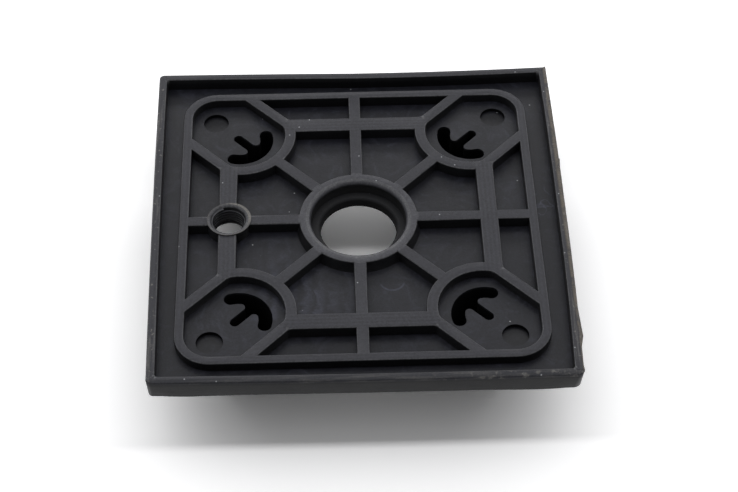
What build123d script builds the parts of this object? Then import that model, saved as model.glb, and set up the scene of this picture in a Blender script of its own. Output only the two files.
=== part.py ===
# Square moulded rubber bushing on four short feet: a shallow tray with a raised rim,
# an inner frame, stiffening ribs, four corner pockets with deep trident sockets, a
# stepped centre bore and a small threaded bush. One moulded piece, millimetres.
import os
from math import atan2, copysign, degrees, sqrt
from build123d import *

# Heights above the face that the part stands on
flange_bottom = 16.0
hub_bottom = flange_bottom - 1.6
cell_floor = flange_bottom + 1.6
pocket_floor = flange_bottom + 2.2  # also the floor of the channel inside the rim
rib_top = flange_bottom + 4.7
rim_top = flange_bottom + 5.7

# Rim: a soft free lip, out of square, each corner in its own place
rim_corners = [(-49.95, 49.85), (49.95, 49.85), (49.25, -49.55), (-48.9, -48.95)]
back_bulge = (-0.3, -0.8, -0.7)  # at a quarter, half and three quarters along the side
right_bulge = (0.42, 0.55, 0.5)
front_bulge = (0.22, 0.3, 0.22)
left_bulge = (0.19, 0.25, 0.19)
rim_corner_radius = 1.2
sharp_corner_radius = 0.4  # the back right corner
wall_corner_radius = 2.0  # lower down on the right side
rim_inner_radius = 0.6
rim_width = 2.0
wall_draft = 0.25  # inset of the outer wall at its foot
wall_foot_break = 0.6

# Torn mould flash along the right side: where each sliver starts, its tip and its end
flash_slivers = [
    ((49.0, 49.75), (49.98, 50.25), (49.8, 48.6)),
    ((49.8, 17.6), (50.4, 17.2), (49.8, 7.5)),
    ((49.7, -27.5), (50.15, -38.4), (49.2, -43.0)),
    ((49.1, -44.5), (49.5, -48.0), (48.8, -48.5)),
]
flash_top = rim_top - 0.35
flash_height = 0.8

# Inner frame
frame_half = 43.25
frame_right = 43.45  # the right side stands a little further out
frame_width = 2.3
frame_radius = 8.5

# Ribs
wide_rib_centre = 31.56
wide_rib_width = 4.4
cross_rib_width = 2.94
diagonal_rib_width = 2.9
rib_corner_radius = 1.8

# Corner pockets, measured along each diagonal
pocket_centre = 40.3  # centre of the rounded inner end
pocket_half = 9.25
pocket_end_radius = 10.8
pocket_wall = 2.75
pocket_reach = 62.0  # past the frame's corner
shoulder_radius = 1.5  # where the rounded end meets the straight sides

# Trident socket, from each pocket's floor down into its foot
trident_centre = 40.8
trident_radius = 6.5
trident_width = 3.3
trident_half_angle = 60
prong_half_width = 1.2
prong_tip = 42.85
notch_radius = 1.0
socket_floor = 2.0

# Feet under the pockets, a little narrower at the bottom
foot_centre = 39.5
foot_top_radius = 9.2
foot_radius = 8.7
foot_edge_break = 0.7

# Round mark of the mould's ejector pin in each pocket
pin_mark_place = 49.8
pin_mark_radius = 3.15
pin_mark_depth = 1.0

# Centre boss and its stepped bore
boss_top_radius = 14.0
boss_foot_radius = 15.0
hub_radius = 14.0
bore_mouth_radius = 12.05
bore_step_radius = 11.4
bore_step = hub_bottom + 2.6  # height of the step
bore_throat_radius = 9.75  # the throat narrows from here to the straight bore
bore_radius = 9.2
bore_straight = 1.6  # length of the straight bore
bore_lip_break = 0.4

# Threaded bush on the left rib crossing
bush_x = -31.4
bush_radius = 5.1
bush_top = rib_top + 0.3
bush_mouth_radius = 4.6
bush_bore_radius = 4.1

edge_break = 0.3  # every upper edge

towards_back_right = Axis((0, 0, 0), (1, 1, 0))


def draw_rim(inset):
    """Draw the rim's outline, two shallow arcs a side, moved inwards."""
    corners = [Vector(x - copysign(inset, x), y - copysign(inset, y)) for x, y in rim_corners]
    bulges = [back_bulge, right_bulge, front_bulge, left_bulge]
    for start, end, side_bulge in zip(corners, corners[1:] + corners[:1], bulges):
        outwards = ((start + end) / 2).normalized()
        first, middle, last = [
            start + (end - start) * share + outwards * bulge
            for share, bulge in zip((0.25, 0.5, 0.75), side_bulge)
        ]
        ThreePointArc(start, first, middle)
        ThreePointArc(middle, last, end)


def rim_corners_of(sketch, direction):
    """List the four corners of a rim outline, sorted along a direction."""
    return sketch.vertices().filter_by(lambda v: min(abs(v.X), abs(v.Y)) > frame_half).sort_by(direction)


def draw_pocket(half, radius):
    """Draw a pocket along +X: a rounded inner end and two straight sides."""
    shoulder = pocket_centre - sqrt(radius**2 - half**2)
    end = pocket_centre - radius
    ThreePointArc((shoulder, -half), (end, 0), (shoulder, half))
    Polyline((shoulder, half), (pocket_reach, half), (pocket_reach, -half), (shoulder, -half))


def is_rib_corner(vertex, outer_half):
    """Tell whether a vertex is where a wide rib's outer side meets a pocket's wall."""
    far, near = max(abs(vertex.X), abs(vertex.Y)), min(abs(vertex.X), abs(vertex.Y))
    return abs(far - outer_half) < 0.01 and cross_rib_width < near < outer_half / 1.5


with BuildSketch(Plane.XY.offset(flange_bottom)) as flange_shape:
    with BuildLine():
        draw_rim(wall_draft)
    make_face()
    fillet(rim_corners_of(flange_shape, Axis.X)[:2], rim_corner_radius)
    fillet(rim_corners_of(flange_shape, Axis.X)[-2:], wall_corner_radius)

with BuildSketch(Plane.XY.offset(rim_top - edge_break)) as rim_shape:
    with BuildLine():
        draw_rim(0)
    make_face()
    fillet(rim_corners_of(rim_shape, towards_back_right)[:-1], rim_corner_radius)
    fillet(rim_corners_of(rim_shape, towards_back_right)[-1], sharp_corner_radius)

with BuildSketch(Plane.XY.offset(rim_top)) as lip_shape:
    with BuildLine():
        draw_rim(edge_break)
    make_face()
    fillet(rim_corners_of(lip_shape, towards_back_right)[:-1], rim_corner_radius - edge_break)
    fillet(rim_corners_of(lip_shape, towards_back_right)[-1], sharp_corner_radius - edge_break)

with BuildSketch() as frame_shape:
    with Locations(((frame_right - frame_half) / 2, 0)):
        RectangleRounded(frame_right + frame_half, 2 * frame_half, frame_radius)

with BuildSketch() as frame_opening:
    offset(frame_shape.sketch, -frame_width)

with BuildSketch() as frame_ring:
    add(frame_shape.sketch)
    add(frame_opening.sketch, mode=Mode.SUBTRACT)

with BuildSketch() as pocket_shape:
    with BuildLine():
        draw_pocket(pocket_half, pocket_end_radius)
    make_face()
    fillet(pocket_shape.vertices().sort_by(Axis.X)[:2], shoulder_radius)

with BuildSketch() as pocket_block:
    with BuildLine():
        draw_pocket(pocket_half + pocket_wall, pocket_end_radius + pocket_wall)
    make_face()
    fillet(pocket_block.vertices().sort_by(Axis.X)[:2], shoulder_radius)

with BuildSketch() as pockets:
    for quarter in range(4):
        add(pocket_shape.sketch, rotation=45 + 90 * quarter)
    add(frame_opening.sketch, mode=Mode.INTERSECT)

with BuildSketch() as trident:
    prong_end = prong_tip - prong_half_width
    prong_start = trident_centre - trident_radius
    arc = CenterArc((trident_centre, 0), trident_radius, 180 - trident_half_angle, 2 * trident_half_angle)
    SlotArc(arc, trident_width)
    with Locations(((prong_start + prong_end) / 2, 0)):
        SlotCenterToCenter(prong_end - prong_start, 2 * prong_half_width)
    notches = trident.vertices().group_by(Axis.X)[0]
    fillet(notches, notch_radius)

# Everything that ends level at the ribs' height, with its upper edges broken
with BuildPart() as web:
    with BuildSketch(Plane.XY.offset(cell_floor)) as web_shape:
        wide_outer = 2 * wide_rib_centre + wide_rib_width
        wide_inner = 2 * wide_rib_centre - wide_rib_width
        Rectangle(wide_outer, wide_outer)
        Rectangle(wide_inner, wide_inner, mode=Mode.SUBTRACT)
        for quarter in range(4):
            add(pocket_block.sketch, rotation=45 + 90 * quarter)
        add(frame_shape.sketch, mode=Mode.INTERSECT)
        rib_corners = [v for v in web_shape.vertices() if is_rib_corner(v, wide_outer / 2)]
        fillet(rib_corners, rib_corner_radius)
        for turn in (0, 90):
            Rectangle(2 * frame_half - frame_width, cross_rib_width, rotation=turn)
        for turn in (45, 135):
            Rectangle(2 * (pocket_centre - pocket_end_radius), diagonal_rib_width, rotation=turn)
        add(pockets.sketch, mode=Mode.SUBTRACT)
        add(frame_ring.sketch)
        Circle(boss_top_radius)
    extrude(amount=rib_top - cell_floor)
    chamfer(web.edges().filter_by_position(Axis.Z, rib_top, rib_top), edge_break)

with BuildPart() as bushing:
    # Flange, its outer wall drawn in a little towards the foot
    loft([flange_shape.sketch.face(), rim_shape.sketch.face()])
    chamfer(bushing.faces().sort_by(Axis.Z)[0].edges(), wall_foot_break)
    loft([rim_shape.sketch.face(), lip_shape.sketch.face()])

    # Hollow inside the rim, as deep as the channel, and the deeper cells inside the frame
    with BuildSketch(Plane.XY.offset(pocket_floor)) as rim_opening:
        with BuildLine():
            draw_rim(rim_width)
        make_face()
        fillet(rim_corners_of(rim_opening, Axis.X), rim_inner_radius)
    extrude(amount=rim_top - pocket_floor, mode=Mode.SUBTRACT)
    chamfer(bushing.faces().sort_by(Axis.Z)[-1].inner_wires().edges(), edge_break)
    with BuildSketch(Plane.XY.offset(cell_floor)):
        add(frame_opening.sketch)
    extrude(amount=pocket_floor - cell_floor, mode=Mode.SUBTRACT)

    # Ribs, frame and pocket walls, and the pockets' higher floors
    add(web.part)
    with BuildSketch(Plane.XY.offset(cell_floor)):
        add(pockets.sketch)
    extrude(amount=pocket_floor - cell_floor)

    # Flared foot of the centre boss, and the hub under the flange
    with BuildSketch(Plane.XZ):
        with BuildLine():
            Polyline((0, hub_bottom), (hub_radius, hub_bottom), (hub_radius, cell_floor),
                     (boss_foot_radius, cell_floor), (boss_top_radius, rib_top - edge_break),
                     (0, rib_top - edge_break), (0, hub_bottom))
        make_face()
    revolve(axis=Axis.Z)

    # Stepped bore through boss and hub
    with BuildSketch(Plane.XZ):
        with BuildLine():
            Polyline((0, hub_bottom), (bore_radius, hub_bottom), (bore_radius, hub_bottom + bore_straight),
                     (bore_throat_radius, bore_step), (bore_step_radius, bore_step),
                     (bore_mouth_radius, rib_top), (0, rib_top), (0, hub_bottom))
        make_face()
    revolve(axis=Axis.Z, mode=Mode.SUBTRACT)
    bore_edges = bushing.edges().filter_by(GeomType.CIRCLE)
    chamfer(bore_edges.filter_by(lambda e: abs(e.radius - bore_mouth_radius) < 0.01), bore_lip_break)
    bore_edges = bushing.edges().filter_by(GeomType.CIRCLE)
    chamfer(bore_edges.filter_by(lambda e: abs(e.radius - bore_throat_radius) < 0.01), edge_break)

    # Threaded bush on the rib crossing, with a countersunk bore
    with BuildSketch(Plane.XY.offset(cell_floor)):
        with Locations((bush_x, 0)):
            Circle(bush_radius)
    extrude(amount=bush_top - cell_floor)
    with Locations((bush_x, 0, bush_top)):
        CounterSinkHole(bush_bore_radius, bush_mouth_radius, depth=bush_top - flange_bottom)

    # Torn flash on the rim's right side
    with BuildSketch(Plane.XY.offset(flash_top)):
        for sliver in flash_slivers:
            with BuildLine():
                Polyline(*sliver, close=True)
            make_face()
    extrude(amount=-flash_height)

    # Feet, drawn in towards the bottom, then the trident sockets and pin marks
    with BuildSketch(Plane.XY):
        with PolarLocations(foot_centre, 4, start_angle=45):
            Circle(foot_radius)
    extrude(amount=flange_bottom, taper=-degrees(atan2(foot_top_radius - foot_radius, flange_bottom)))
    chamfer(bushing.edges().filter_by_position(Axis.Z, 0, 0), foot_edge_break)
    for quarter in range(4):
        with BuildSketch(Plane.XY.offset(socket_floor)):
            add(trident.sketch, rotation=45 + 90 * quarter)
        extrude(amount=pocket_floor - socket_floor, mode=Mode.SUBTRACT)
    with BuildSketch(Plane.XY.offset(pocket_floor)):
        with PolarLocations(pin_mark_place, 4, start_angle=45):
            Circle(pin_mark_radius)
    extrude(amount=-pin_mark_depth, mode=Mode.SUBTRACT)

bushing.part.label = "bushing"
os.makedirs("parts", exist_ok=True)
export_step(bushing.part, "parts/bushing.step")
print("bushing", round(bushing.part.volume), "mm3", bushing.part.bounding_box())
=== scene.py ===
import math

import bmesh
import bpy
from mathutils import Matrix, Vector


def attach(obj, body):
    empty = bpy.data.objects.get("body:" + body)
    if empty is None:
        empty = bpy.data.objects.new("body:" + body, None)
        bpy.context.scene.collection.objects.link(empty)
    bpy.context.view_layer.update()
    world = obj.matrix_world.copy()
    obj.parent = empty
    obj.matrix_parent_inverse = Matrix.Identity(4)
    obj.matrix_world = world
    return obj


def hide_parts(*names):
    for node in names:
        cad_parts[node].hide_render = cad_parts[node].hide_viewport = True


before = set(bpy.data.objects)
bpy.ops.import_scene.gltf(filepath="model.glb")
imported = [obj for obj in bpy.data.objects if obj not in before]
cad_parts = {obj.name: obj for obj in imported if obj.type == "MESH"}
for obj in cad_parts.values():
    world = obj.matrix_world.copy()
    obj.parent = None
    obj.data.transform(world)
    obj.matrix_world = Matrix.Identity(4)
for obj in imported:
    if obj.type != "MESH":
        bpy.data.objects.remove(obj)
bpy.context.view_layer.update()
scene = bpy.context.scene
scene.view_settings.view_transform = "Standard"
print("frame loaded:", ", ".join(sorted(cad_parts)))


class Value:
    # one output socket, so that node maths can be written as plain expressions

    def __init__(self, shader, socket):
        self.shader = shader
        self.socket = socket

    def maths(self, operation, *others):
        return self.shader.maths(operation, self, *others)

    def __add__(self, other):
        return self.maths("ADD", other)

    def __radd__(self, other):
        return self.maths("ADD", other)

    def __sub__(self, other):
        return self.maths("SUBTRACT", other)

    def __rsub__(self, other):
        return self.shader.maths("SUBTRACT", other, self)

    def __mul__(self, other):
        return self.maths("MULTIPLY", other)

    def __rmul__(self, other):
        return self.maths("MULTIPLY", other)

    def __abs__(self):
        return self.maths("ABSOLUTE")

    def wave(self, step):
        # -1 to 1 and back, once for each step
        return (self * (2 * math.pi / step)).maths("SINE")

    def above(self, edge, soft):
        # 0 below the edge and 1 above it, over a soft band
        return self.shader.node("ShaderNodeMapRange", {"interpolation_type": "SMOOTHSTEP"},
                                {"Value": self, "From Min": edge - soft, "From Max": edge + soft})

    def below(self, edge, soft):
        return 1 - self.above(edge, soft)


class Shader:
    # the node tree of one material, or of the world

    def __init__(self, owner):
        self.owner = owner
        owner.use_nodes = True
        self.tree = owner.node_tree
        self.tree.nodes.clear()

    def node(self, kind, settings=None, inputs=None, output=0):
        made = self.tree.nodes.new(kind)
        for key, value in (settings or {}).items():
            setattr(made, key, value)
        for key, value in (inputs or {}).items():
            if isinstance(value, Value):
                self.tree.links.new(value.socket, made.inputs[key])
            else:
                made.inputs[key].default_value = value
        return Value(self, made.outputs[output]) if made.outputs else None

    def maths(self, operation, *terms):
        return self.node("ShaderNodeMath", {"operation": operation}, dict(enumerate(terms)))

    def blend(self, share, first, second):
        # a colour between two colours
        return self.node("ShaderNodeMix", {"data_type": "RGBA"}, {0: share, 6: first, 7: second},
                         output=2)

    def shade(self, colour, share):
        # a colour made lighter or darker by a number
        return self.node("ShaderNodeVectorMath", {"operation": "SCALE"}, {0: colour, "Scale": share})

    def total(self, shares, patterns):
        # patterns added up, each by its share, over an even part
        result = shares["even"]
        for name, share in shares.items():
            if name != "even":
                result = result + patterns[name] * share
        return result

    def part(self, vector, axis):
        return self.node("ShaderNodeSeparateXYZ", None, {"Vector": vector}, output=axis)

    def stretch(self, vector, scale):
        return self.node("ShaderNodeVectorMath", {"operation": "MULTIPLY"}, {0: vector, 1: scale})

    def gap(self, vector, spot):
        # how far away a fixed spot is
        return self.node("ShaderNodeVectorMath", {"operation": "DISTANCE"}, {0: vector, 1: spot},
                         output="Value")

    def noise(self, place, scale, detail=2.0, roughness=0.5, distortion=0.0):
        inputs = {"Vector": place, "Scale": scale, "Detail": detail, "Roughness": roughness,
                  "Distortion": distortion}
        return self.node("ShaderNodeTexNoise", None, inputs)

    def seenDirectly(self):
        # 1 for what the camera sees directly, or in or through a glossy surface
        seen = self.node("ShaderNodeLightPath", output="Is Camera Ray")
        for ray in ("Is Glossy Ray", "Is Transmission Ray"):
            seen = seen.maths("MAXIMUM", self.node("ShaderNodeLightPath", output=ray))
        return seen


# Where an entry is a pair of numbers, the first is an edge and the second is how soft it is.
# Places, levels and reaches are in metres.
rubber = {
    "deepGrey": (0.0090, 0.0095, 0.0135, 1),  # floors
    "wallGrey": (0.0068, 0.0070, 0.0080, 1),
    "ribGrey": (0.0250, 0.0253, 0.0310, 1),
    # the boss's top, and also a painted highlight on the bore's mouth
    "bossGreyAndMouthHighlight": (0.0480, 0.0484, 0.0560, 1),
    "rimGrey": (0.0245, 0.0248, 0.0300, 1),
    "edgeHighlightGrey": (0.085, 0.086, 0.092, 1),  # painted highlight on the broken edges and round the bore's mouth
    # painted shade: near black, for the sockets and the bore's throat
    "paintedShadeBlack": (0.0015, 0.0015, 0.0018, 1),
    "flashBrown": (0.085, 0.074, 0.062, 1),
    # real scuffs, chips and nicks, and a painted highlight on the bush's lip
    "scuffAndHighlightGrey": (0.130, 0.125, 0.118, 1),
    "dustGrey": (0.42, 0.43, 0.45, 1),
    "deepRoughness": 0.37,
    "topRoughness": 0.52,
    "shine": 0.19,

    "facesUp": (0.85, 0.08),
    "facesAside": (0.5, 0.2),
    "edgeFrom": (0.35, 0.1),  # a broken edge's slope is between these two
    "edgeTo": (0.965, 0.025),
    "ribLevel": (0.0204, 0.0002),  # just under the ribs' tops
    "rimLevel": (0.0213, 0.0002),
    "underLevel": (0.0164, 0.0002),  # duller under the flange

    "pocketPlace": (0.0285, 0.0285, 0),  # the four pockets are mirrored from here
    "socketReach": (0.0081, 0.0001),
    "socketLevel": (0.0176, 0.0004),
    "socketPaintedShade": 0.8,  # how much of the sockets a black diffuse takes over: painted shade
    "markPlace": (0.0352, 0.0352, 0),  # the pin marks
    "markReach": (0.0033, 0.0001),
    "markLevel": (0.0180, 0.0001),
    # painted shade: how much darker the pin marks' recesses are painted, and how much of their walls a
    # black diffuse takes
    "markPaintedShade": 0.45,
    "markWallPaintedShade": 0.6,

    "bossReach": (0.0145, 0.0001),
    "mouthReach": (0.0127, 0.0001),
    "mouthLevel": (0.0197, 0.0006),  # the bore's mouth is painted as light as the boss from here up, as a painted highlight
    "throatLevel": (0.0192, 0.0010),  # and painted nearly black below this, as painted shade
    "throatPaintedShade": 0.75,
    "mouthLine": 0.0126,  # a thin painted highlight round the bore's mouth
    "mouthLineWidth": (0.00012, 0.00012),
    "mouthLineGaps": (0.45, 0.1),

    "bushPlace": (-0.0314, 0, 0),
    "bushLip": (0.00485, 0.0001),
    "bushReach": (0.0056, 0.0002),
    "bushLevel": (0.0209, 0.0001),
    "bushRight": (-0.0314, 0.001),  # the lip's painted highlight is lightest at the back right
    "bushBack": (-0.001, 0.002),
    "bushHighlight": (0.35, 0.65),  # all round, and what the back right has more

    "flashPlace": (0.0491, 0.0002),  # the right side's trimmed edge
    "flashLevel": (0.0205, 0.0006),
    "flashGaps": (0.42, 0.12),
    "frontPlace": (-0.0480, 0.0003),  # the front rim's top
    "frontLevel": (0.0209, 0.0003),
    "frontDark": 0.85,
    "frontScuffs": (0.55, 0.12),
    "frontScuffShare": 0.22,
    "chipPlace": (0.020, 0.014),  # small pale chips at the front right
    "chipScale": 800,
    "chipGaps": (0.58, 0.06),
    "chipShare": 0.45,
    "sidePlace": (0.0474, 0.0002),  # the right and left rims' tops
    "sideScratches": (0.60, 0.05),
    "sideScratchShare": 0.35,
    "nickScale": 1300,
    "nickGaps": (0.66, 0.03),
    "nickShare": 0.8,

    "cloudScale": 55,
    "flowScale": 130,
    "scratchScale": (900, 50, 400),  # fine lines along the right and left sides
    "scuffScale": (90, 900, 500),  # and along the front
    "speckleScale": 2300,
    "rippleCentre": (-0.052, -0.020, 0.0176),  # flow arcs on a front left floor spread from here
    "rippleStep": 0.0034,
    "rippleBend": 0.005,
    "rippleBack": (-0.010, 0.004),
    "rippleFront": (-0.0290, 0.0005),
    "rippleMiddle": -0.012,
    "rippleWidth": (0.012, 0.003),
    "rippleGaps": (0.45, 0.15),
    "swirlCentre": (0.0075, -0.0175, 0.0176),  # a curl in the floor beside the front rib
    "swirlReach": 0.0034,
    "swirlBend": 0.0008,
    "swirlWidth": (0.0002, 0.0002),
    "swirlBack": (-0.0185, 0.0006),
    "swirlGaps": (0.42, 0.08),
    "smearGaps": (0.60, 0.12),
    "hairScale": 208,  # fine scratches in the channel's floor
    "hairWidth": (0.006, 0.006),
    "hairPlace": (0.0455, 0.0055, 0.0182),
    "hairReach": (0.0055, 0.001),
    "ringStep": 0.0012,  # rings left by the tool on the tops of the pockets' walls
    "ringReach": (0.0137, 0.0001),
    "laneStep": 0.00105,  # and straight lines along the frame and the wide ribs
    "lanePlace": (0.0290, 0.0002),
    "wideEdge": (0.0338, 0.0002),  # none between the wide ribs and the frame
    "frameEdge": (0.0408, 0.0002),

    # how much each pattern counts
    "markShares": {"even": 0.0, "ripples": 0.8, "curl": 1.0, "smears": 0.35, "hairs": 1.6},
    "deepShares": {"even": 0.60, "clouds": 0.45, "marks": 2.2, "scratches": 0.2},
    # the painted highlight on the broken edges
    "edgeHighlightShares": {"even": -0.06, "lines": 0.9, "speckle": 0.45},
    "wholeShares": {"even": 0.07, "clouds": 0.16, "flow": 0.16, "speckle": 1.2, "lines": 0.3,
                    "rings": 0.08, "lanes": 0.24},
    "mouthLineShares": {"even": 0.2, "gaps": 0.5},
    "roughShares": {"even": 0.0, "flow": 0.25, "marks": -0.06, "scratches": 0.12, "specks": 0.3,
                    "sockets": 0.6, "throat": 0.3, "under": 0.4},
    "bumpHeights": {"even": 0.0, "grain": 0.000022, "waves": 0.00007},
    "grainScale": 2600,
    "waveScale": 160,
}

# bits of dust, where they lie on the ribs, floors and rim
lint = {
    "places": [
        (-0.0007, 0.0465, 0.0182), (-0.0141, 0.0308, 0.0207), (-0.0165, 0.0281, 0.0207),
        (-0.0330, 0.0123, 0.0207), (0.0007, 0.0203, 0.0207), (0.0069, 0.0292, 0.0205),
        (0.0136, 0.0289, 0.0205), (0.0212, 0.0193, 0.0207), (0.0243, 0.0165, 0.0207),
        (0.0135, 0.0107, 0.0205), (0.0047, 0.0118, 0.0207), (0.0196, 0.0002, 0.0207),
        (0.0451, 0.0393, 0.0182), (0.0419, 0.0480, 0.0217), (0.0480, 0.0163, 0.0217),
        (-0.0402, -0.0480, 0.0217), (-0.0331, -0.0488, 0.0216), (-0.0008, -0.0205, 0.0207),
        (0.0342, -0.0312, 0.0182), (0.0395, -0.0493, 0.0216), (-0.0115, 0.0333, 0.0207),
        (-0.0430, -0.0080, 0.0207), (-0.0155, 0.0111, 0.0176), (0.0398, 0.0136, 0.0176),
        (-0.0256, -0.0054, 0.0176), (-0.0482, 0.0075, 0.0217), (0.0486, 0.0406, 0.0217),
        (0.0489, 0.0052, 0.0217), (0.0478, -0.0419, 0.0217), (0.0484, -0.0137, 0.0217),
    ],
    "reach": (0.00016 * 1.3, 0.00016 * 0.6),
    "unevenness": 0.00012,
    "raggedScale": 4000,
    "share": 0.75,
    "cellScale": 300,
    "chance": (0.86, 0.001),  # cells above this get a stray speck
    "strayReach": (0.045, 0.015),
    "strayShare": 0.7,
}


def rubberPatterns(s, place, look):
    # soft clouds, and the marks of the rubber's flow and of the mould's tool
    across, along, height = (s.part(place, axis) for axis in "XYZ")
    clouds = s.noise(place, look["cloudScale"], detail=3.0)
    flow = s.noise(place, look["flowScale"], detail=4.0, roughness=0.6, distortion=2.5)
    scratches = s.noise(s.stretch(place, look["scratchScale"]), 1.0, detail=3.0, roughness=0.7)
    scuffs = s.noise(s.stretch(place, look["scuffScale"]), 1.0, detail=4.0, roughness=0.7)
    speckle = s.noise(place, look["speckleScale"], detail=2.0)

    ripples = (s.gap(place, look["rippleCentre"]) + flow * look["rippleBend"]).wave(look["rippleStep"])
    ripples = (ripples * 0.5 + 0.5) * along.below(*look["rippleBack"])
    ripples = ripples * along.above(*look["rippleFront"])
    ripples = ripples * abs(across - look["rippleMiddle"]).below(*look["rippleWidth"])
    ripples = ripples * clouds.above(*look["rippleGaps"])
    curl = abs(s.gap(place, look["swirlCentre"]) + flow * look["swirlBend"] - look["swirlReach"])
    curl = curl.below(*look["swirlWidth"]) * along.below(*look["swirlBack"])
    curl = curl * flow.above(*look["swirlGaps"])
    hairs = abs(s.noise(place, look["hairScale"], detail=1.0) - 0.5).below(*look["hairWidth"])
    hairs = hairs * s.gap(place, look["hairPlace"]).below(*look["hairReach"])
    marks = s.total(look["markShares"], {"ripples": ripples, "curl": curl, "hairs": hairs,
                                         "smears": flow.above(*look["smearGaps"])})

    flat = s.stretch(place, (1, 1, 0))
    mirrored = s.node("ShaderNodeVectorMath", {"operation": "ABSOLUTE"}, {0: flat})
    fromPocket = s.gap(mirrored, look["pocketPlace"])
    rings = fromPocket.wave(look["ringStep"]) * fromPocket.below(*look["ringReach"])
    outwards = abs(across).maths("MAXIMUM", abs(along))
    lanes = outwards.wave(look["laneStep"]) * outwards.above(*look["lanePlace"]) * flow
    lanes = lanes * (1 - outwards.above(*look["wideEdge"]) * outwards.below(*look["frameEdge"]))
    lanes = lanes * height.above(*look["ribLevel"])
    atSides = (abs(across) - abs(along)).above(0, 0.001)
    return {"clouds": clouds, "flow": flow, "scratches": scratches, "scuffs": scuffs, "speckle": speckle,
            "marks": marks, "rings": rings, "lanes": lanes, "mirrored": mirrored,
            "lines": scratches * atSides + scuffs * (1 - atSides)}


def dustSpecks(s, place, upwards, dust):
    # stray specks of dust, and the larger ones at their own places
    cell = {"Vector": place, "Scale": dust["cellScale"]}
    chance = s.node("ShaderNodeTexVoronoi", None, cell, output="Color")
    chosen = s.node("ShaderNodeSeparateColor", None, {"Color": chance}, output="Red")
    chosen = chosen.above(*dust["chance"])
    stray = s.node("ShaderNodeTexVoronoi", None, cell, output="Distance").below(*dust["strayReach"])
    specks = stray * chosen * upwards * dust["strayShare"]
    ragged = s.noise(place, dust["raggedScale"]) * dust["unevenness"]
    for spot in dust["places"]:
        specks = specks.maths("MAXIMUM", (s.gap(place, spot) + ragged).below(*dust["reach"]))
    return specks


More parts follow.
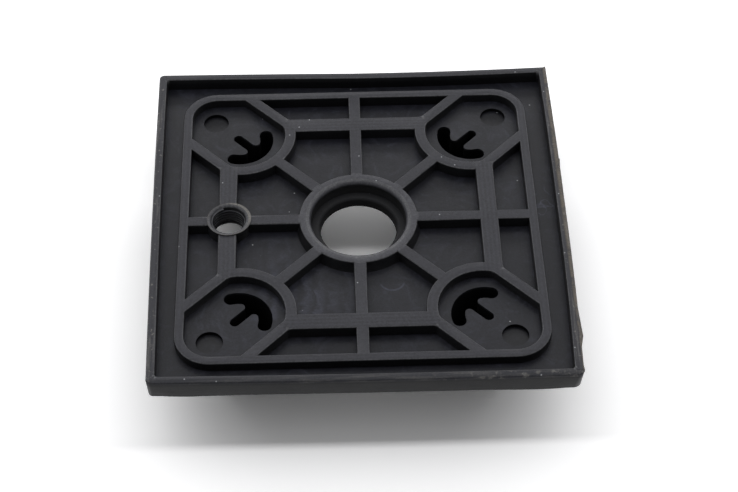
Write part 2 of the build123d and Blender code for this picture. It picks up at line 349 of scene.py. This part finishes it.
def makeRubber(name, look, dust):
    material = bpy.data.materials.new(name)
    s = Shader(material)
    place = s.node("ShaderNodeTexCoord", output="Object")
    across, along, height = (s.part(place, axis) for axis in "XYZ")
    facing = s.part(s.node("ShaderNodeTexCoord", output="Normal"), "Z")
    upwards = facing.above(*look["facesUp"])
    onRibs = height.above(*look["ribLevel"])
    onRim = height.above(*look["rimLevel"])
    flat = s.stretch(place, (1, 1, 0))
    fromBore = s.gap(flat, (0, 0, 0))
    fromBush = s.gap(flat, look["bushPlace"])
    patterns = rubberPatterns(s, place, look)
    flow, scratches, mirrored = patterns["flow"], patterns["scratches"], patterns["mirrored"]

    # tops lighter than floors and walls
    colour = s.shade(look["deepGrey"][:3], s.total(look["deepShares"], patterns))
    colour = s.blend(facing.below(*look["facesAside"]), colour, look["wallGrey"])
    colour = s.blend(onRibs * upwards, colour, look["ribGrey"])

    # the boss, with a painted highlight on its bore's mouth and painted shade in its throat
    colour = s.blend(fromBore.below(*look["bossReach"]) * onRibs * upwards, colour, look["bossGreyAndMouthHighlight"])
    inBore = fromBore.below(*look["mouthReach"])
    colour = s.blend(inBore * height.above(*look["mouthLevel"]), colour, look["bossGreyAndMouthHighlight"])
    # painted highlight: a thin broken light line round the bore's mouth
    mouthHighlight = abs(fromBore - look["mouthLine"]).below(*look["mouthLineWidth"]) * onRibs
    mouthHighlightShare = s.total(look["mouthLineShares"], {"gaps": flow.above(*look["mouthLineGaps"])})
    colour = s.blend(mouthHighlight * mouthHighlightShare, colour, look["edgeHighlightGrey"])
    throat = inBore * height.below(*look["throatLevel"])
    colour = s.blend(throat * look["throatPaintedShade"], colour, look["paintedShadeBlack"])
    colour = s.blend(onRim * upwards, colour, look["rimGrey"])

    # painted highlights on the broken edges, lightest on the bush's lip
    bushEdge = fromBush.above(*look["bushLip"]) * fromBush.below(*look["bushReach"])
    bushEdge = bushEdge * height.above(*look["bushLevel"])
    allRound, backRight = look["bushHighlight"]
    behind = across.above(*look["bushRight"]) * along.above(*look["bushBack"])
    colour = s.blend(bushEdge * (allRound + behind * backRight), colour, look["scuffAndHighlightGrey"])
    edges = onRibs * facing.above(*look["edgeFrom"]) * facing.below(*look["edgeTo"])
    colour = s.blend(edges * s.total(look["edgeHighlightShares"], patterns), colour, look["edgeHighlightGrey"])

    # the rim's brown flash, scuffs, chips and nicks
    flash = across.above(*look["flashPlace"]) * height.above(*look["flashLevel"])
    colour = s.blend(flash * flow.above(*look["flashGaps"]), colour, look["flashBrown"])
    front = along.below(*look["frontPlace"]) * height.above(*look["frontLevel"])
    colour = s.blend(front * look["frontDark"], colour, look["deepGrey"])
    scuffs = patterns["scuffs"].above(*look["frontScuffs"]) * look["frontScuffShare"]
    chips = s.noise(place, look["chipScale"], detail=3.0).above(*look["chipGaps"]) * look["chipShare"]
    chips = chips * across.above(*look["chipPlace"])
    colour = s.blend(front * (scuffs + chips), colour, look["scuffAndHighlightGrey"])
    sides = abs(across).above(*look["sidePlace"]) * onRim
    sideLines = scratches.above(*look["sideScratches"]) * look["sideScratchShare"]
    nicks = s.noise(place, look["nickScale"], detail=3.0).above(*look["nickGaps"]) * look["nickShare"]
    colour = s.blend(sides * (sideLines + nicks), colour, look["scuffAndHighlightGrey"])
    colour = s.shade(colour, s.total(look["wholeShares"], patterns))

    # painted shade: black sockets and darker pin marks; then the dust on everything
    inMark = s.gap(mirrored, look["markPlace"]).below(*look["markReach"])
    sockets = s.gap(mirrored, look["pocketPlace"]).below(*look["socketReach"]) * (1 - inMark)
    sockets = sockets * height.below(*look["socketLevel"])
    inMark = inMark * height.below(*look["markLevel"])
    markWalls = inMark * facing.below(*look["facesAside"])
    colour = s.shade(colour, 1 - inMark * look["markPaintedShade"])
    colour = s.blend(sockets, colour, look["paintedShadeBlack"])
    specks = dustSpecks(s, place, upwards, dust)
    colour = s.blend(specks * dust["share"], colour, look["dustGrey"])

    bumpHeight = s.total(look["bumpHeights"], {"grain": s.noise(place, look["grainScale"], detail=2.0),
                                               "waves": s.noise(place, look["waveScale"], detail=2.0)})
    bumps = s.node("ShaderNodeBump", None, {"Strength": 1.0, "Distance": 1.0, "Height": bumpHeight},
                   output="Normal")
    rough = look["deepRoughness"] + onRibs * (look["topRoughness"] - look["deepRoughness"])
    rough = rough + s.total(look["roughShares"], {
        "flow": flow - 0.5, "marks": patterns["marks"], "scratches": scratches - 0.5, "specks": specks,
        "sockets": sockets, "throat": throat, "under": height.below(*look["underLevel"])})
    surface = s.node("ShaderNodeBsdfPrincipled", None,
                     {"Base Color": colour, "Roughness": rough, "Normal": bumps,
                      "Specular IOR Level": look["shine"]})
    # painted shade: a black diffuse mixed in over the sockets and the pin marks' walls
    paintedShadeBsdf = s.node("ShaderNodeBsdfDiffuse", None, {"Color": look["paintedShadeBlack"]})
    paintedShadeShare = sockets * look["socketPaintedShade"] + markWalls * look["markWallPaintedShade"]
    surface = s.node("ShaderNodeMixShader", None, {0: paintedShadeShare, 1: surface, 2: paintedShadeBsdf})
    s.node("ShaderNodeOutputMaterial", None, {"Surface": surface})
    return material


rubberMaterial = makeRubber("mouldedRubber", rubber, lint)
print("rubber material made")

moulding = {
    "mergeDistance": 0.000001,
    "sharpAngle": 56,
    "lipLevel": 0.0202,
    "lipEdges": [
        # the boss's soft lip: an edge's nearest and furthest point from the axis, how far it
        # spreads outwards and how far it sinks
        (0.0118, 0.0121, -0.00045, 0.0006),
        (0.0123, 0.0126, -0.00030, 0.0),
        (0.0135, 0.0143, 0.00030, 0.0),
    ],
    "bushX": -0.0314,
    "bushLevel": 0.0208,
    "bushLip": 0.0048,
    "bushFlare": 0.0005,  # how far the bush's thin lip leans outwards
    "flareSpan": 1.15,
    "flareTurn": 0.35,
}


def plainMesh(thing):
    # bakes an object's modifiers into its mesh
    bpy.context.view_layer.update()
    ready = thing.evaluated_get(bpy.context.evaluated_depsgraph_get())
    mesh = bpy.data.meshes.new_from_object(ready)
    thing.modifiers.clear()
    thing.data = mesh
    return thing


def softenLip(vert, sizes):
    # widens the boss's top a little and rounds the mouth of its bore
    reach = math.hypot(vert.co.x, vert.co.y)
    for nearest, furthest, spread, sink in sizes["lipEdges"]:
        if vert.co.z > sizes["lipLevel"] and nearest < reach < furthest:
            vert.co.x *= (reach + spread) / reach
            vert.co.y *= (reach + spread) / reach
            vert.co.z -= sink
            return


def flareBush(vert, sizes):
    # leans the bush's lip out on one side
    across, along = vert.co.x - sizes["bushX"], vert.co.y
    reach = math.hypot(across, along)
    furthest = sizes["bushLip"] * sizes["flareSpan"]
    if vert.co.z > sizes["bushLevel"] and sizes["bushLip"] < reach < furthest:
        flare = sizes["bushFlare"] * max(0, math.cos(math.atan2(along, across) - sizes["flareTurn"]))
        vert.co.x += across / reach * flare
        vert.co.y += along / reach * flare


def dressBushing(sizes):
    # the moulding itself, its edge breaks shaded as small radii
    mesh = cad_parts["bushing"].data.copy()
    mesh.name = "bushingSkin"
    work = bmesh.new()
    work.from_mesh(mesh)
    bmesh.ops.remove_doubles(work, verts=work.verts, dist=sizes["mergeDistance"])
    for vert in work.verts:
        softenLip(vert, sizes)
        flareBush(vert, sizes)
    for face in work.faces:
        face.smooth = True
    for edge in work.edges:
        edge.smooth = edge.is_manifold and edge.calc_face_angle() < math.radians(sizes["sharpAngle"])
    work.to_mesh(mesh)
    work.free()
    mesh.materials.clear()
    mesh.materials.append(rubberMaterial)
    skin = bpy.data.objects.new("bushingSkin", mesh)
    scene.collection.objects.link(skin)
    modifier = skin.modifiers.new("evenNormals", "WEIGHTED_NORMAL")
    modifier.keep_sharp = True
    return plainMesh(skin)


bushingSkin = dressBushing(moulding)
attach(bushingSkin, "root")
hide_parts("bushing")
print("bushing dressed:", len(bushingSkin.data.polygons), "faces")

# the fine thread in the small bush
thread = {
    "axisX": -0.0314,
    "bottom": 0.0151,
    "radius": 0.00412,
    "pitch": 0.0009,
    "turns": 5.7,
    "ridge": 0.00046,
    "stepsPerTurn": 48,
    "ridgeSides": 6,
    "noseBottom": 0.0146,  # the bush stands out a little under the flange, as the hub does
    "noseTop": 0.0161,
    "noseRadius": 0.0056,
    "noseEdge": 0.0003,
    "noseSteps": 64,
}


def makeThreadTree():
    # a ridge that winds up the wall of a round hole
    tree = bpy.data.node_groups.new("bushThread", "GeometryNodeTree")
    for label, kind in (("Radius", "NodeSocketFloat"), ("Pitch", "NodeSocketFloat"),
                        ("Turns", "NodeSocketFloat"), ("Ridge", "NodeSocketFloat"),
                        ("Place", "NodeSocketVector"), ("Rubber", "NodeSocketMaterial")):
        tree.interface.new_socket(label, in_out="INPUT", socket_type=kind)
    tree.interface.new_socket("Geometry", in_out="OUTPUT", socket_type="NodeSocketGeometry")
    nodes, links = tree.nodes, tree.links
    sizes = nodes.new("NodeGroupInput")
    rise = nodes.new("ShaderNodeMath")
    rise.operation = "MULTIPLY"
    links.new(sizes.outputs["Pitch"], rise.inputs[0])
    links.new(sizes.outputs["Turns"], rise.inputs[1])
    helix = nodes.new("GeometryNodeCurveSpiral")
    helix.inputs["Resolution"].default_value = thread["stepsPerTurn"]
    links.new(sizes.outputs["Turns"], helix.inputs["Rotations"])
    links.new(sizes.outputs["Radius"], helix.inputs["Start Radius"])
    links.new(sizes.outputs["Radius"], helix.inputs["End Radius"])
    links.new(rise.outputs[0], helix.inputs["Height"])
    profile = nodes.new("GeometryNodeCurvePrimitiveCircle")
    profile.inputs["Resolution"].default_value = thread["ridgeSides"]
    links.new(sizes.outputs["Ridge"], profile.inputs["Radius"])
    sweep = nodes.new("GeometryNodeCurveToMesh")
    sweep.inputs["Fill Caps"].default_value = True
    links.new(helix.outputs["Curve"], sweep.inputs["Curve"])
    links.new(profile.outputs["Curve"], sweep.inputs["Profile Curve"])
    move = nodes.new("GeometryNodeTransform")
    links.new(sweep.outputs["Mesh"], move.inputs["Geometry"])
    links.new(sizes.outputs["Place"], move.inputs["Translation"])
    realize = nodes.new("GeometryNodeRealizeInstances")
    links.new(move.outputs["Geometry"], realize.inputs["Geometry"])
    coat = nodes.new("GeometryNodeSetMaterial")
    links.new(realize.outputs["Geometry"], coat.inputs["Geometry"])
    links.new(sizes.outputs["Rubber"], coat.inputs["Material"])
    finished = nodes.new("NodeGroupOutput")
    links.new(coat.outputs["Geometry"], finished.inputs["Geometry"])
    return tree


def grow(name, tree, values):
    # runs a node tree and keeps what it makes as a plain mesh
    thing = bpy.data.objects.new(name, bpy.data.meshes.new(name))
    scene.collection.objects.link(thing)
    modifier = thing.modifiers.new(name, "NODES")
    modifier.node_group = tree
    for item in tree.interface.items_tree:
        if item.in_out == "INPUT" and item.name in values:
            modifier[item.identifier] = values[item.name]
    return plainMesh(thing)


bushThread = grow("bushThread", makeThreadTree(), {
    "Radius": thread["radius"], "Pitch": thread["pitch"], "Turns": thread["turns"],
    "Ridge": thread["ridge"], "Place": (thread["axisX"], 0, thread["bottom"]),
    "Rubber": rubberMaterial})
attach(bushThread, "root")
print("bush thread made:", len(bushThread.data.polygons), "faces")


def makeNose(sizes):
    # a short ring under the flange, round the bush's bore
    low, high, edge = sizes["noseBottom"], sizes["noseTop"], sizes["noseEdge"]
    inner, outer = sizes["radius"], sizes["noseRadius"]
    profile = [(inner, high), (inner, low + edge), (inner + edge, low),
               (outer - edge, low), (outer, low + edge), (outer, high)]
    work = bmesh.new()
    rings = []
    for step in range(sizes["noseSteps"]):
        turn = 2 * math.pi * step / sizes["noseSteps"]
        across, along = math.cos(turn), math.sin(turn)
        rings.append([work.verts.new((sizes["axisX"] + reach * across, reach * along, level))
                      for reach, level in profile])
    for ring, after in zip(rings, rings[1:] + rings[:1]):
        for one in range(len(profile)):
            other = (one + 1) % len(profile)
            work.faces.new((ring[one], ring[other], after[other], after[one]))
    bmesh.ops.recalc_face_normals(work, faces=work.faces)
    for face in work.faces:
        face.smooth = True
    mesh = bpy.data.meshes.new("bushNose")
    work.to_mesh(mesh)
    work.free()
    mesh.materials.append(rubberMaterial)
    nose = bpy.data.objects.new("bushNose", mesh)
    scene.collection.objects.link(nose)
    nose.modifiers.new("evenNormals", "WEIGHTED_NORMAL")
    return plainMesh(nose)


bushNose = makeNose(thread)
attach(bushNose, "root")
print("bush nose made:", len(bushNose.data.polygons), "faces")

studio = {
    "floorSize": 6.0,
    "floorWhite": (0.88, 0.88, 0.885, 1),
    "floorSeen": (1.3, 1.3, 1.31, 1),  # the camera sees a whiter floor than the part does
    "worldFill": 0.33,
    "worldSeen": (0.98, 0.98, 0.98, 1),
    "middle": (0, 0, 0.01),  # where the lamps point
    "lamps": [
        # name, place, width, depth, power
        ("narrowLamp", (0, 0.045, 0.8), 3.2, 0.09, 4.6),
        ("wideLamp", (0, 0.3, 0.8), 2.6, 0.6, 3.9),
        ("backLamp", (0, 1.2, 0.6), 2.4, 0.3, 10.7),
    ],
}


def makeFloor():
    material = bpy.data.materials.new("paleFloor")
    s = Shader(material)
    colour = s.blend(s.seenDirectly(), studio["floorWhite"], studio["floorSeen"])
    surface = s.node("ShaderNodeBsdfDiffuse", None, {"Color": colour})
    s.node("ShaderNodeOutputMaterial", None, {"Surface": surface})
    half = studio["floorSize"] / 2
    corners = [(-half, -half, 0), (half, -half, 0), (half, half, 0), (-half, half, 0)]
    mesh = bpy.data.meshes.new("floor")
    mesh.from_pydata(corners, [], [(0, 1, 2, 3)])
    mesh.materials.append(material)
    floor = bpy.data.objects.new("floor", mesh)
    scene.collection.objects.link(floor)


def addLamp(name, place, width, depth, power):
    lamp = bpy.data.lights.new(name, "AREA")
    lamp.shape = "RECTANGLE"
    lamp.size = width
    lamp.size_y = depth
    lamp.energy = power
    holder = bpy.data.objects.new(name, lamp)
    holder.location = place
    aim = Vector(studio["middle"]) - Vector(place)
    holder.rotation_euler = aim.to_track_quat("-Z", "Y").to_euler()
    scene.collection.objects.link(holder)


def makeWorld():
    # dim light from all round, and plain white where the camera looks past the floor
    world = bpy.data.worlds.new("studio")
    s = Shader(world)
    fill = s.node("ShaderNodeBackground", None, {"Color": (1, 1, 1, 1), "Strength": studio["worldFill"]})
    white = s.node("ShaderNodeBackground", None, {"Color": studio["worldSeen"]})
    either = s.node("ShaderNodeMixShader", None, {0: s.seenDirectly(), 1: fill, 2: white})
    s.node("ShaderNodeOutputWorld", None, {"Surface": either})
    scene.world = world


makeFloor()
for lampSizes in studio["lamps"]:
    addLamp(*lampSizes)
makeWorld()
print("floor and lamps set")

view = {
    "place": (-0.00667, -0.28790, 0.34499),
    "turn": (0.71, 0, -0.032),
    "lens": 87.64,
    "sensorWidth": 36,
    "clipStart": 0.01,
    "clipEnd": 20,
}


def makeCamera():
    camera = bpy.data.cameras.new("camera")
    camera.sensor_width = view["sensorWidth"]
    camera.lens = view["lens"]
    camera.clip_start = view["clipStart"]
    camera.clip_end = view["clipEnd"]
    holder = bpy.data.objects.new("camera", camera)
    holder.location = view["place"]
    holder.rotation_euler = view["turn"]
    scene.collection.objects.link(holder)
    scene.camera = holder


makeCamera()
print("camera set")
